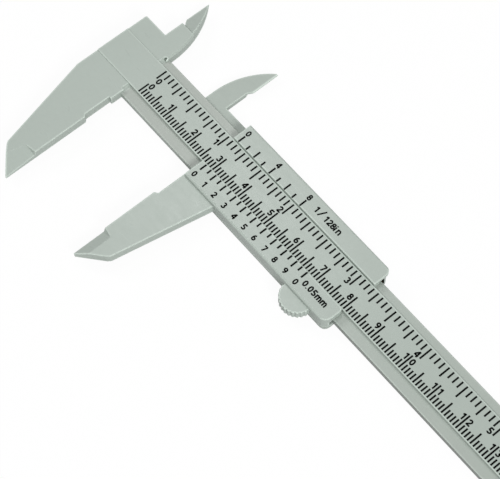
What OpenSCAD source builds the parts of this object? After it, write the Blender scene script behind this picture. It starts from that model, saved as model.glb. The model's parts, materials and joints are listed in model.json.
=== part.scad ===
// Plastic vernier caliper for 150 mm and 6 inches, lying on its back with the scales up.
// X runs along the beam, away from the fixed jaw's measuring face.
// Y runs across the beam: the long outside jaws point to -Y, the short inside jaws to +Y.
// Z comes out of the scales. Sizes are in millimetres.

/* [Reading] */
// Gap between the outside jaws as drawn
opening = 28.4; // [5:0.1:120]
// Largest gap that the end stop allows
reach = 150; // [130:1:155]

/* [Beam] */
// Length from the fixed measuring face to the free end
beam_len = 210; // [209:1:260]
// Width
beam_w = 15.8; // [13:0.1:20]
// Thickness at the raised scale strip
beam_t = 3.0; // [2.8:0.1:4]
// Width of the raised scale strip
strip_w = 10; // [8:0.1:12]
// Distance of the strip's middle line from the beam's, towards the inside jaws
strip_shift = 0.28; // [0:0.02:0.5]
// Depth of the band on each side of the strip
band_drop = 1.1; // [0.8:0.1:1.4]
// Radius of the hollow fillet where a band runs up to the head
band_fillet = 1.2; // [0.9:0.1:2]
// Chamfer along the beam's edges
beam_chamfer = 0.15; // [0.1:0.05:0.5]

/* [Head and fixed jaws] */
// Thickness of the head and of the outside jaws
head_t = 2.75; // [2.4:0.05:3]
// Width of the head along the beam
head_w = 13.85; // [12:0.05:18]
// Height of the head above the beam's upper edge
head_rise = 3.65; // [2:0.05:6]
// Chamfer of the head's free corner
head_corner = 0.3; // [0.1:0.05:1]
// Reach of the outside jaws below the beam's lower edge
jaw_reach = 37; // [30:0.1:50]
// Width of the fixed jaw at its heel
heel_w = 7.1; // [6.5:0.05:10]
// Distance of both heels from the jaw tips
heel_rise = 6.1; // [5:0.1:8]
// Length of the full-width root of the fixed jaw
root_len = 3.2; // [2:0.1:5]
// Width of the blunt jaw tips
tip_w = 0.35; // [0.3:0.05:1]

/* [Measuring faces] */
// Depth of the relief above the fixed measuring face
relief_d = 0.7; // [0.3:0.05:1.2]
// Depth of the relief above the moving measuring face
moving_relief_d = 0.9; // [0.3:0.05:1.2]
// Length of the two measuring faces, tips included
face_len = 25.4; // [20:0.1:28]
// Length of the bevelled knife part at the tips
knife_len = 9; // [7:0.1:12]
// Thickness left at the measuring faces where the bevels begin
knife_t = 1.35; // [1:0.05:2]
// Width of the fixed jaw's bevel where it begins
knife_w = 3.3; // [2.5:0.1:5]
// Width of the moving jaw's bevel
moving_knife_w = 3; // [2.5:0.1:5]
// Angle at which the fixed jaw's bevel widens towards the tip
knife_lean = 13; // [0:1:20]
// Slope of the end walls of the two bevels
wall_slope = 0.35; // [0:0.05:0.5]
// Angle at which the end walls run down away from the measuring faces
wall_turn = 10; // [0:1:20]

/* [Inside jaws] */
// Reach above the beam's upper edge
inside_reach = 19.35; // [16:0.05:24]
// Distance of the fixed knife edge behind the measuring face
inside_edge = 7.35; // [7:0.05:10]
// Step between the fixed jaw's neck and its knife edge
neck_step = 1.35; // [0.8:0.05:1.6]
// The same step on the moving jaw
moving_neck_step = 1; // [0.8:0.05:1.6]
// How far the fixed jaw's curved back stands out in front of the measuring face
inside_out = 0.2; // [0:0.05:0.4]
// Radius of the fixed jaw's curved back
inside_r = 26.1; // [24:0.1:30]
// Height above the beam's edge at which that curve begins
inside_foot = 1.1; // [1:0.1:4]
// Radius of the moving jaw's curved back
moving_inside_r = 22.5; // [21:0.1:26]
// Height above the beam's edge at which that curve begins
moving_inside_foot = 3.6; // [2:0.1:5]
// Length of the knife parts
inside_knife = 9.9; // [7:0.05:12]
// Thickness of the knife edges
inside_land = 0.3; // [0.2:0.05:0.5]
// Width of the bevel that runs down to a knife edge
inside_bevel = 6.2; // [4:0.1:6.5]
// Length of the slanted corner where a knife edge begins
inside_corner = 1.5; // [0.5:0.1:2]
// Slope of the end wall of the bevel
inside_wall = 0.4; // [0:0.05:0.6]
// Chamfer along the fixed jaw's curved back
inside_chamfer = 0.4; // [0.3:0.05:1.2]
// How far the curved back leans in from bottom to top beside the knife part
inside_lean = 0.75; // [0.3:0.05:1.2]
// Distance of the moving jaw's foot ahead of the fixed one when the jaws are shut
inside_lead = 14.3; // [13.5:0.05:16]

/* [Slider] */
// Length of the vernier plates
slider_len = 53.65; // [40:0.05:60]
// Distance of the plates behind the moving measuring face
plate_back = 1.35; // [0.6:0.05:2]
// Height of the plates above the scale strip
plate_rise = 0.9; // [0.6:0.1:1.5]
// Distance of the upper side from the beam
upper_side = 3.1; // [2.5:0.05:4]
// Distance of the lower side from the beam
lower_side = 2.85; // [2.5:0.05:4]
// Thickness of the back plate
back_t = 1.6; // [1.2:0.1:2.4]
// Rounding of the back plate's outer edges
back_round = 0.8; // [0.4:0.1:1.1]
// How far the bar in front of the plates stays below their upper side
bar_drop = 0.3; // [0:0.05:1]
// Distance of the bar's lower side above the beam's lower edge
bar_rise = 1.6; // [1:0.1:3]
// Rounding of the plates' outer upper edges
plate_round = 0.5; // [0.2:0.05:0.7]
// Radius of the metric plate's outer corner and of the back plate under it
lower_corner = 2.5; // [1:0.1:2.7]
// Radius of the inch plate's outer corner
upper_corner = 1.8; // [1:0.1:2.8]
// Radius of the corner of the side wall and of the back plate under it
wall_corner = 3; // [2:0.1:3]
// Depth of the lead-in beside the beam at the slider's free end
lead_d = 1; // [0.4:0.1:1]
// Length of that lead-in
lead_in = 4; // [1:0.1:5]
// Width of the moving jaw at its root
moving_root_w = 12.65; // [11:0.05:16]
// Width of the moving jaw at its heel
moving_heel_w = 7.1; // [6.5:0.05:10]
// Running clearance of the slider across and over the beam
slide_gap = 0.1; // [0.05:0.01:0.2]
// Clearance of the plates beside the scale strip
strip_gap = 0.1; // [0.08:0.01:0.3]
// Radius of the pegs that join the back plate to the front pieces
peg_r = 0.6; // [0.4:0.05:0.7]
// Length of the pegs
peg_len = 0.9; // [0.6:0.1:1]

/* [Thumb rest] */
// Radius
thumb_r = 4.7; // [4:0.1:6]
// Distance of its centre from the slider's free end
thumb_back = 10.2; // [8:0.1:14]
// Distance of its centre inside the slider's lower side
thumb_sink = 0.2; // [0:0.1:1.5]
// Number of grooves in a whole turn of its rim
thumb_grooves = 26; // [16:1:36]
// Radius of a groove
groove_r = 0.34; // [0.2:0.02:0.4]

/* [Spring] */
// Thickness of the leaf
leaf_t = 0.3; // [0.2:0.02:0.36]
// Height of its bow
leaf_bow = 0.4; // [0.2:0.02:0.42]
// Depth of its pocket in the slider's upper side
pocket_d = 0.8; // [0.75:0.01:0.9]

/* [Depth rod] */
// Width
rod_w = 4; // [3:0.1:5]
// Thickness
rod_t = 1.2; // [0.8:0.05:1.3]
// Clearance on each side in its channel
rod_gap = 0.1; // [0.05:0.01:0.15]
// Distance of its foot behind the plates' front end
rod_seat = 30; // [20:0.5:36]
// Length of its foot
rod_foot = 6; // [4:0.5:8]

/* [End stop] */
// Length along the beam
stop_len = 4; // [3:0.1:6]
// Width
stop_w = 12.5; // [12:0.1:13]
// Thickness
stop_t = 1.1; // [0.8:0.1:1.4]
// Radius of a screw's shank
screw_r = 0.6; // [0.5:0.05:0.8]
// Radius of a screw's head
screw_head_r = 1.15; // [1:0.05:1.4]

/* [Hidden] */
$fn = 96;
over = 1;
seat = 0.02;
plastic = "#c3cec3";
back_plastic = "#bac5ba";
brass = "#b5904a";
steel = "#a9acae";

// Beam and head
half_w = beam_w / 2;
strip_lo = strip_shift - strip_w / 2;
strip_hi = strip_shift + strip_w / 2;
band_z = beam_t - band_drop;
band_start = 0.35;
head_top = half_w + head_rise;
tip_y = -half_w - jaw_reach;
face_top = tip_y + face_len;
knife_top = tip_y + knife_len;
root_y = -half_w - root_len;

// The row's origin: the middle of the full-thickness part of the fixed measuring face
face_mid = (face_top + knife_top) / 2;

// Inside jaws
inside_tip = half_w + inside_reach;
edge_y = inside_tip - inside_knife;
fixed_back_x = inside_edge + inside_out;

// Slider
plate_x0 = opening + plate_back;
plate_x1 = plate_x0 + slider_len;
side_hi = half_w + upper_side;
side_lo = -half_w - lower_side;
plate_z0 = band_z + slide_gap;
plate_z1 = beam_t + plate_rise;
back_z1 = -slide_gap;
back_z0 = back_z1 - back_t;
wall_hi = half_w + slide_gap;
wall_lo = -half_w - slide_gap;
pocket_y = wall_hi + pocket_d;
bar_hi = side_hi - bar_drop;
bar_lo = -half_w + bar_rise;
moving_foot_x = opening - inside_lead;
moving_edge_x = opening - inside_edge;

// Depth rod and its channel in the beam's back
channel_w = rod_w + 2 * rod_gap;
channel_d = rod_t + 2 * rod_gap;
rod_x0 = plate_x0 + rod_seat;
rod_tip = beam_len + opening;
channel_x0 = rod_x0 - opening - 2;
foot_d = back_t / 2;

// End stop: it meets the back plate just after the full reach
stop_x0 = plate_x1 - opening + reach + 0.2;
stop_screw_x = stop_x0 + stop_len / 2;
stop_screw_y = (channel_w / 2 + stop_w / 2) / 2;
screw_len = band_z - 0.5;

// Shapes drawn in the Y-Z plane run along X from x0 to x1
module along_x(x0, x1) {
    translate([x0, 0, 0])
        rotate([90, 0, 90])
            linear_extrude(x1 - x0)
                children();
}

// Shapes drawn in the X-Z plane run along Y from y0 to y1
module along_y(y0, y1) {
    translate([0, y1, 0])
        rotate([90, 0, 0])
            linear_extrude(y1 - y0)
                children();
}

// Shapes drawn in the X-Y plane run along Z from z0 to z1
module along_z(z0, z1) {
    translate([0, 0, z0])
        linear_extrude(z1 - z0)
            children();
}

// Moves the drawing's datum, the beam's back on its middle line, to the row's origin
module placed() {
    translate([0, -face_mid, -head_t / 2])
        children();
}

// A rectangle given by two corners
module area(x0, y0, x1, y1) {
    translate([x0, y0])
        square([x1 - x0, y1 - y0]);
}

// What a rounding of radius r takes off a corner at (x, y) whose body lies towards sx, sy
module corner_scrap(x, y, sx, sy, r) {
    translate([x, y])
        difference() {
            polygon([[-sx, -sy], [sx * r, -sy], [sx * r, sy * r], [-sx, sy * r]]);
            translate([sx * r, sy * r])
                circle(r);
        }
}

// Outline of an outside jaw on the +X side of its measuring face, from its top edge to its tip
module outside_outline(top_y, root_w, taper_y, heel) {
    heel_y = tip_y + heel_rise;
    heel_cut = 0.6;
    heel_drop = 0.8;
    polygon([
        [0, top_y],
        [root_w, top_y],
        [root_w, taper_y],
        [heel, heel_y],
        [heel - heel_cut, heel_y - heel_drop],
        [tip_w, tip_y],
        [0, tip_y]
    ]);
}

// Relief above a measuring face, with a short slope down to the face
module relief(top_y, depth) {
    slope = 0.6;
    polygon([
        [-over, top_y],
        [depth, top_y],
        [depth, face_top + slope],
        [0, face_top],
        [-over, face_top]
    ]);
}

// Wedge that bevels the front towards the measuring face at x = 0. Its end wall is raised by rise.
module knife_wedge(width, lean, rise) {
    far = 3 * width;
    slope = (head_t - knife_t) / width;
    intersection() {
        translate([width, knife_top, head_t])
            rotate([0, 0, lean])
                along_y(-2 * knife_len, knife_len)
                    polygon([[0, 0], [0, over], [-far, over], [-far, -far * slope]]);
        translate([0, knife_top + rise, 0])
            rotate([0, 0, -wall_turn])
                along_x(-2 * over, 2 * width)
                    polygon([
                        [-knife_len - 2 * over, -over],
                        [-(knife_t + over) * wall_slope, -over],
                        [(head_t - knife_t + over) * wall_slope, head_t + over],
                        [-knife_len - 2 * over, head_t + over]
                    ]);
    }
}

// Outside jaw on the +X side of its measuring face
module outside_jaw(top_y, root_w, taper_y, heel, relief_y, depth, width, lean, rise) {
    difference() {
        along_z(0, head_t)
            difference() {
                outside_outline(top_y, root_w, taper_y, heel);
                relief(relief_y, depth);
            }
        knife_wedge(width, lean, rise);
    }
}

// Outline of an inside jaw whose knife edge is at x = 0 and faces -X
module inside_outline(foot_y, back_x, step, notch, curve_y, r) {
    difference() {
        intersection() {
            polygon([
                [step, foot_y],
                [step, edge_y + notch],
                [0, edge_y + notch + inside_corner],
                [0, inside_tip + over],
                [back_x, inside_tip + over],
                [back_x, foot_y]
            ]);
            union() {
                area(-over, foot_y, back_x, curve_y);
                translate([back_x - r, curve_y])
                    circle(r, $fn = 180);
            }
        }
        area(-over, inside_tip, back_x, inside_tip + 2 * over);
    }
}

// Wedge that bevels a jaw of the given thickness down to its knife edge at x = 0
module inside_wedge(thick, width) {
    slope = (thick - inside_land) / width;
    intersection() {
        along_y(edge_y - over, inside_tip + over)
            polygon([
                [-over, inside_land],
                [0, inside_land],
                [width + over, thick + over * slope],
                [width + over, thick + over],
                [-over, thick + over]
            ]);
        along_x(-2 * over, width + 2 * over)
            polygon([
                [edge_y - over * inside_wall, thick + over],
                [edge_y + (thick + over) * inside_wall, -over],
                [inside_tip + 2 * over, -over],
                [inside_tip + 2 * over, thick + over]
            ]);
    }
}

// Ring that takes a cone of the given width and depth off the fixed jaw's curved back
module back_ring(width, depth) {
    slope = width / depth;
    translate([fixed_back_x - inside_r, half_w + inside_foot, head_t])
        rotate_extrude($fn = 180)
            polygon([
                [inside_r + over * slope, -depth - over],
                [inside_r + 3 * over, -depth - over],
                [inside_r + 3 * over, over],
                [inside_r - width - over * slope, over]
            ]);
}

// Fixed inside jaw: chamfered along the curve of its neck, bevelled on both sides of its knife part
module fixed_inside_jaw() {
    foot_y = half_w + inside_foot;
    notch = 0.75;
    translate([-inside_edge, 0, 0])
        difference() {
            along_z(0, head_t)
                inside_outline(half_w - over, fixed_back_x, neck_step, notch, foot_y, inside_r);
            inside_wedge(head_t, inside_bevel);
            along_y(half_w, foot_y)
                polygon([
                    [fixed_back_x - inside_chamfer - over, head_t + over],
                    [fixed_back_x + over, head_t - inside_chamfer - over],
                    [fixed_back_x + over, head_t + over]
                ]);
            intersection() {
                back_ring(inside_chamfer, inside_chamfer);
                along_z(-over, head_t + over)
                    area(-over, foot_y, fixed_back_x + over, edge_y);
            }
            intersection() {
                back_ring(inside_lean, head_t);
                along_z(-2 * over, head_t + over)
                    area(-over, edge_y, fixed_back_x + over, inside_tip + over);
            }
        }
}

// Moving inside jaw in the back plate's layer, bevelled from behind
module moving_inside_jaw() {
    back_x = inside_lead - inside_edge;
    notch = 0.2;
    translate([moving_edge_x, 0, 0])
        mirror([1, 0, 0])
            difference() {
                along_z(back_z0, back_z1)
                    inside_outline(half_w - over, back_x, moving_neck_step, notch,
                        half_w + moving_inside_foot, moving_inside_r);
                translate([0, 0, back_z1])
                    mirror([0, 0, 1])
                        inside_wedge(back_t, inside_bevel - 1);
            }
}

// Space over a band, with the hollow fillet that runs up to the head
module band_space(y0, y1) {
    along_y(y0, y1)
        union() {
            area(band_start, band_z, beam_len + over, beam_t + over);
            translate([band_start, band_z + band_fillet])
                circle(band_fillet);
        }
}

// Section of the beam across its length
module beam_section() {
    c = beam_chamfer;
    polygon([
        [-half_w + c, 0],
        [half_w - c, 0],
        [half_w, c],
        [half_w, band_z - c],
        [half_w - c, band_z],
        [strip_hi, band_z],
        [strip_hi, beam_t],
        [strip_lo, beam_t],
        [strip_lo, band_z],
        [-half_w + c, band_z],
        [-half_w, band_z - c],
        [-half_w, c]
    ]);
}

// Head plate behind the zero line, with its two band fillets
module head() {
    difference() {
        union() {
            along_z(0, head_t)
                area(-head_w, root_y, 0, half_w);
            along_z(0, head_t)
                polygon([
                    [-head_w, half_w - over],
                    [-head_w, head_top - head_corner],
                    [-head_w + head_corner, head_top],
                    [-inside_edge + neck_step, head_top],
                    [-inside_edge + neck_step, half_w - over]
                ]);
            along_z(0, head_t)
                area(-over, -half_w, band_start, half_w);
            along_z(0, beam_t)
                area(-head_w, strip_lo, band_start, strip_hi);
        }
        band_space(strip_hi, half_w);
        band_space(-half_w, strip_lo);
    }
}

module beam() {
    taper_drop = 0.3;
    wall_rise = 0.1;
    hole_back = 0.35;
    hole_drop = 0.75;
    hole_r = 0.4;
    color(plastic)
        placed()
            difference() {
                union() {
                    along_x(0, beam_len)
                        beam_section();
                    head();
                    fixed_inside_jaw();
                    mirror([1, 0, 0])
                        outside_jaw(-half_w + over, head_w, root_y - taper_drop, heel_w, root_y,
                            relief_d, knife_w, knife_lean, wall_rise);
                }
                // Channel for the depth rod, closed towards the head
                along_z(-over, channel_d)
                    area(channel_x0, -channel_w / 2, beam_len + over, channel_w / 2);
                // Relief hole at the root of the fixed inside jaw
                along_z(band_z, head_t + over)
                    translate([-hole_back, half_w - hole_drop])
                        circle(hole_r);
                // Holes for the end stop's screws
                for (side = [-1, 1])
                    translate([stop_screw_x, side * stop_screw_y, -over])
                        cylinder(h = screw_len + over, r = screw_r + seat);
            }
}

// Half a disc that stands out of the slider's lower side, with a grooved rim
module thumb_rest() {
    centre = [plate_x1 - thumb_back, side_lo + thumb_sink];
    above = 0.3;
    along_z(back_z1 + above, head_t)
        difference() {
            translate(centre)
                circle(thumb_r);
            area(centre[0] - 2 * thumb_r, wall_lo, centre[0] + 2 * thumb_r, wall_lo + 2 * thumb_r);
            for (i = [0 : thumb_grooves - 1])
                translate(centre)
                    rotate((i + 0.5) * 360 / thumb_grooves)
                        translate([thumb_r + groove_r * 0.35, 0])
                            circle(groove_r, $fn = 24);
        }
}

// Pegs under a side wall, or with extra > 0 the holes that they seat in
module pegs(y, extra) {
    for (x = [plate_x0 + 6, (plate_x0 + plate_x1) / 2, plate_x1 - 6])
        translate([x, y, back_z1 - peg_len - extra])
            cylinder(h = peg_len + extra + 0.5, r = peg_r + extra);
}

// Metric vernier plate, lower side, outside jaw and thumb rest, moulded in one
module sliding_jaw() {
    inner_corner = 0.8;
    jaw_root = 0.5;
    wall_rise = 0.4;
    color(plastic)
        placed() {
            difference() {
                along_x(plate_x0, plate_x1)
                    difference() {
                        union() {
                            area(side_lo, back_z1, wall_lo, plate_z1);
                            area(side_lo, plate_z0, strip_lo - strip_gap, plate_z1);
                        }
                        corner_scrap(side_lo, plate_z1, 1, -1, plate_round);
                    }
                along_z(back_z1 - over, plate_z1 + over)
                    union() {
                        corner_scrap(plate_x1, side_lo, -1, 1, lower_corner);
                        corner_scrap(plate_x1, strip_lo - strip_gap, -1, -1, inner_corner);
                    }
                // Lead-in at the free end
                along_z(back_z1 - over, plate_z0)
                    polygon([
                        [plate_x1 + over, wall_lo + over],
                        [plate_x1 - lead_in, wall_lo + over],
                        [plate_x1 - lead_in, wall_lo],
                        [plate_x1, wall_lo - lead_d],
                        [plate_x1 + over, wall_lo - lead_d]
                    ]);
            }
            translate([opening, 0, 0])
                outside_jaw(wall_lo - jaw_root, moving_root_w, side_lo, moving_heel_w,
                    wall_lo, moving_relief_d, moving_knife_w, 0, wall_rise);
            thumb_rest();
            pegs((side_lo + wall_lo) / 2, 0);
        }
}

// Inch vernier plate and upper side, with the spring's pocket
module inch_plate() {
    color(plastic)
        placed() {
            difference() {
                along_x(plate_x0, plate_x1)
                    difference() {
                        union() {
                            area(wall_hi, back_z1, side_hi, plate_z1);
                            area(strip_hi + strip_gap, plate_z0, side_hi, plate_z1);
                        }
                        corner_scrap(side_hi, plate_z1, -1, -1, plate_round);
                    }
                along_z(back_z1 - over, plate_z1 + over)
                    corner_scrap(plate_x1, side_hi, -1, -1, upper_corner);
                along_z(back_z1 - over, beam_t)
                    corner_scrap(plate_x1, side_hi, -1, -1, wall_corner);
                // The pocket is higher at the free end
                along_z(back_z1 - over, beam_t)
                    area(plate_x1 - lead_in, wall_hi - over, plate_x1 + over, pocket_y);
                // Pocket for the leaf, open at the free end, and the slot for its hooked end
                along_z(back_z1 - over, plate_z0)
                    union() {
                        area(plate_x0 + 2, wall_hi - over, plate_x1 + over, pocket_y);
                        area(plate_x0 + 2, wall_hi, plate_x0 + 2 + leaf_t + 4 * seat, pocket_y + 0.7);
                    }
            }
            pegs((side_hi + pocket_y) / 2, 0);
        }
}

// Back plate under the beam, the bar that reaches forward behind the beam, and the inside jaw
module slider_back() {
    front_corner = 0.8;
    foot_corner = 2;
    color(back_plastic)
        placed()
            difference() {
                union() {
                    intersection() {
                        along_x(moving_foot_x, plate_x1)
                            difference() {
                                area(side_lo, back_z0, side_hi, back_z1);
                                corner_scrap(side_lo, back_z0, 1, 1, back_round);
                                corner_scrap(side_hi, back_z0, -1, 1, back_round);
                            }
                        along_y(side_lo, side_hi)
                            difference() {
                                area(moving_foot_x, back_z0, plate_x1, back_z1);
                                corner_scrap(plate_x1, back_z0, -1, 1, back_round);
                            }
                        along_z(back_z0, back_z1)
                            difference() {
                                union() {
                                    area(plate_x0, side_lo, plate_x1, side_hi);
                                    area(moving_foot_x, bar_lo, plate_x0 + over, bar_hi);
                                }
                                corner_scrap(plate_x1, side_lo, -1, 1, lower_corner);
                                corner_scrap(plate_x1, side_hi, -1, -1, wall_corner);
                                corner_scrap(plate_x0, side_lo, 1, 1, front_corner);
                                corner_scrap(moving_foot_x, bar_lo, 1, 1, foot_corner);
                            }
                    }
                    moving_inside_jaw();
                }
                pegs((side_lo + wall_lo) / 2, seat);
                pegs((side_hi + pocket_y) / 2, seat);
                // Seat for the depth rod's foot
                along_z(back_z1 - foot_d, back_z1 + over)
                    area(rod_x0 - seat, -rod_w / 2 - seat, rod_x0 + rod_foot + seat, rod_w / 2 + seat);
            }
}

// Flat rod in the beam's channel, with a foot that seats in the back plate and a stepped end
module depth_rod() {
    notch_w = 1.6;
    color(plastic)
        placed()
            difference() {
                union() {
                    along_z(rod_gap, rod_gap + rod_t)
                        area(rod_x0, -rod_w / 2, rod_tip, rod_w / 2);
                    along_z(back_z1 - foot_d, rod_gap + rod_t)
                        area(rod_x0, -rod_w / 2, rod_x0 + rod_foot, rod_w / 2);
                }
                // Step at the free end that keeps the rod clear of a corner's radius
                along_z(rod_gap - over, rod_gap + rod_t + over)
                    polygon([
                        [rod_tip + over, rod_w / 2 - notch_w],
                        [rod_tip - 2.5, rod_w / 2 - notch_w],
                        [rod_tip - 4, rod_w / 2 + over],
                        [rod_tip + over, rod_w / 2 + over]
                    ]);
            }
}

// Bowed brass leaf that presses the beam against the slider's lower side
module gib_spring() {
    x0 = plate_x0 + 2 + 2 * seat;
    x1 = plate_x1 - 1.2;
    mid = (x0 + x1) / 2;
    steps = 24;
    base = pocket_y - seat;
    hook = 0.6;
    // The bow is a parabola: no rise at the two ends, all of it at the middle
    line = [for (i = [1 : steps]) x0 + (x1 - x0) * i / steps];
    rise = [for (x = line) leaf_bow * (1 - pow((x - mid) / (x1 - mid), 2))];
    color(brass)
        placed()
            along_z(back_z1 + 0.2, plate_z0 - 0.1)
                polygon(concat(
                    [[x0, base - leaf_t], [x0, base + hook], [x0 + leaf_t, base + hook], [x0 + leaf_t, base]],
                    [for (i = [0 : steps - 1]) [line[i], base - rise[i]]],
                    [for (i = [steps - 1 : -1 : 0]) [line[i], base - rise[i] - leaf_t]]
                ));
}

// Plate on the beam's back that bridges the channel and stops the slider
module end_stop() {
    color(plastic)
        placed()
            difference() {
                along_z(-stop_t, 0)
                    difference() {
                        area(stop_x0, -stop_w / 2, stop_x0 + stop_len, stop_w / 2);
                        corner_scrap(stop_x0 + stop_len, -stop_w / 2, -1, 1, 1);
                        corner_scrap(stop_x0 + stop_len, stop_w / 2, -1, -1, 1);
                    }
                for (side = [-1, 1])
                    translate([stop_screw_x, side * stop_screw_y, -stop_t])
                        screw_form(seat);
            }
}

// Countersunk screw with its head's face at z = 0; extra > 0 gives the hole it sits in
module screw_form(extra) {
    head_h = screw_head_r - screw_r;
    translate([0, 0, -extra])
        cylinder(h = screw_len + stop_t + extra - (extra > 0 ? 0 : 0.2), r = screw_r + extra);
    cylinder(h = head_h, r1 = screw_head_r + extra, r2 = screw_r + extra);
    if (extra > 0)
        translate([0, 0, -over])
            cylinder(h = over, r = screw_head_r + extra);
}

module end_stop_screws() {
    color(steel)
        placed()
            for (side = [-1, 1])
                translate([stop_screw_x, side * stop_screw_y, -stop_t])
                    difference() {
                        screw_form(0);
                        translate([-screw_head_r - over, -0.14, -over])
                            cube([2 * (screw_head_r + over), 0.28, over + 0.25]);
                    }
}

beam();
sliding_jaw();
inch_plate();
slider_back();
depth_rod();
gib_spring();
end_stop();
end_stop_screws();
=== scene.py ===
"""Looks of a moulded plastic vernier caliper, built around its CAD frame.

The CAD nodes give the shape and are dressed as they are; their shader rounds the edges. The scales are thin
prints added on top, and every surface has a procedural finish. Lengths in the classes are in millimetres on
the drawing's datum: X from the fixed measuring face, Y from the beam's middle line, Z from the beam's back.
The node groups and the lamps work in metres of the frame.
"""

import json
import logging
from dataclasses import dataclass, field
from enum import Enum

import bpy
import numpy as np
from mathutils import Matrix, Vector

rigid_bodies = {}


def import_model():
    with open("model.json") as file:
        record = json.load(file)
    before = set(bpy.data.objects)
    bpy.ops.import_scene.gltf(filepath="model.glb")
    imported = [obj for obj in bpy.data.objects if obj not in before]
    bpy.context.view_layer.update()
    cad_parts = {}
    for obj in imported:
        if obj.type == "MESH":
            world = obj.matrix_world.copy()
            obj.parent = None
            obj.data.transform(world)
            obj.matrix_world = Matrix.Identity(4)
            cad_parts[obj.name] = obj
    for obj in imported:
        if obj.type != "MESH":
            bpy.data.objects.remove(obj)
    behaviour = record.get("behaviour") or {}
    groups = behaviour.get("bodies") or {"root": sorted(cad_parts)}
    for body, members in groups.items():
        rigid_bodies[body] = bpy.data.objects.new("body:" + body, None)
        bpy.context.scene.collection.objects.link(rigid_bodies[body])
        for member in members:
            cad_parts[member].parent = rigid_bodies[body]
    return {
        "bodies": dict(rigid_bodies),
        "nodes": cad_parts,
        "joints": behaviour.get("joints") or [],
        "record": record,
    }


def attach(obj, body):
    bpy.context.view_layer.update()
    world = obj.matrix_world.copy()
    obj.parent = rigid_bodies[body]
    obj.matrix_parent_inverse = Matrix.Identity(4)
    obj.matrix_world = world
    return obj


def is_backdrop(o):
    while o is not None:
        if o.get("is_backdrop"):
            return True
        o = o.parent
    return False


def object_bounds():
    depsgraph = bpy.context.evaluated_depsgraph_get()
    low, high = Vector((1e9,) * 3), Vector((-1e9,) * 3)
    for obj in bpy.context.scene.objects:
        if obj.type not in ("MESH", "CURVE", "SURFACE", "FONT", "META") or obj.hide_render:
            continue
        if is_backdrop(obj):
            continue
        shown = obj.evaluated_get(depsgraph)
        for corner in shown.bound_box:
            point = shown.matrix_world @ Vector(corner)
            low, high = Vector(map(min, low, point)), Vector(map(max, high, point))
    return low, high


MM = 0.001
INCH = 25.4
MM_PER_CM = 10
SHADER_RAYS = 6
NOISE_MIDDLE = 0.5
ARC_STEP_DEG = 12
ARC_STEPS_MIN = 4
log = logging.getLogger("caliper")

Tree = bpy.types.NodeTree
Node = bpy.types.Node
Socket = bpy.types.NodeSocket
Material = bpy.types.Material
Input = Socket | float
Color = tuple[float, float, float]
Point = tuple[float, float, float]


@dataclass(frozen=True)
class Datum:
    """Where the drawing's datum lies in the frame, in millimetres."""

    x: float = 0.0
    y: float = 27.7
    z: float = -1.375

    def to_frame(self, points: np.ndarray) -> np.ndarray:
        """Return datum points, in millimetres, as frame points in metres.

        Args:
            points: array of shape (n, 3).

        Returns:
            Array of the same shape.
        """
        return (points + np.array([self.x, self.y, self.z])) * MM


DATUM = Datum()


class Slot(Enum):
    """Material slots of the record, and the ink."""

    FRONT = "front_plastic"
    BACK = "back_plastic"
    BRASS = "brass_leaf"
    STEEL = "screw_steel"
    INK = "print_ink"


class Body(Enum):
    """Rigid bodies of the frame."""

    BEAM = "beam"
    SLIDER = "slider"


def link_piece(obj: bpy.types.Object, body: Body) -> bpy.types.Object:
    """Put an object in the scene and on its body.

    Args:
        obj: the finished object, placed by its mesh.
        body: the rigid body that it rides on.

    Returns:
        The same object.
    """
    bpy.context.scene.collection.objects.link(obj)
    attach(obj, body.value)
    log.info("%s rides on %s with %d vertices", obj.name, body.value, len(obj.data.vertices))
    return obj


def mesh_object(name: str, points: np.ndarray, faces: np.ndarray) -> bpy.types.Object:
    """Make a mesh object from whole arrays.

    Args:
        name: name of the piece.
        points: (n, 3) datum points in millimetres.
        faces: (m, 4) vertex numbers, all quads.

    Returns:
        The object, not yet in the scene.
    """
    mesh = bpy.data.meshes.new(name)
    quads = np.ascontiguousarray(faces, dtype=np.int32)
    mesh.vertices.add(len(points))
    mesh.vertices.foreach_set("co", DATUM.to_frame(points).astype(np.float32).ravel())
    mesh.loops.add(quads.size)
    mesh.loops.foreach_set("vertex_index", quads.ravel())
    mesh.polygons.add(len(quads))
    mesh.polygons.foreach_set("loop_start", np.arange(0, quads.size, 4, dtype=np.int32))
    mesh.update(calc_edges=True)
    mesh.validate()
    return bpy.data.objects.new(name, mesh)


# Shader node groups

def new_group(name: str, inputs: dict[str, float], outputs: dict[str, str]) -> Tree:
    """Make an empty shader group with its sockets.

    Args:
        name: name of the group.
        inputs: float inputs and their defaults.
        outputs: output names and their socket types.

    Returns:
        The group, with its input and output nodes named In and Out.
    """
    group = bpy.data.node_groups.new(name, "ShaderNodeTree")
    for label, value in inputs.items():
        socket = group.interface.new_socket(name=label, in_out="INPUT", socket_type="NodeSocketFloat")
        socket.default_value = value
    for label, kind in outputs.items():
        group.interface.new_socket(name=label, in_out="OUTPUT", socket_type=kind)
    group.nodes.new("NodeGroupInput").name = "In"
    group.nodes.new("NodeGroupOutput").name = "Out"
    return group


def math_node(tree: Tree, operation: str, a: Input, b: Input) -> Socket:
    """Add a math node fed by sockets or numbers.

    Args:
        tree: node tree to add to.
        operation: Blender's name of the operation.
        a: first socket or number.
        b: second socket or number.

    Returns:
        The node's output.
    """
    node = tree.nodes.new("ShaderNodeMath")
    node.operation = operation
    for slot_index, value in enumerate((a, b)):
        if isinstance(value, Socket):
            tree.links.new(value, node.inputs[slot_index])
        else:
            node.inputs[slot_index].default_value = value
    return node.outputs[0]


def product(tree: Tree, *factors: Input) -> Socket:
    """Multiply sockets or numbers, from the left.

    Args:
        tree: node tree to add to.
        factors: two or more sockets or numbers.

    Returns:
        The product.
    """
    result = factors[0]
    for factor in factors[1:]:
        result = math_node(tree, "MULTIPLY", result, factor)
    return result


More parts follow.
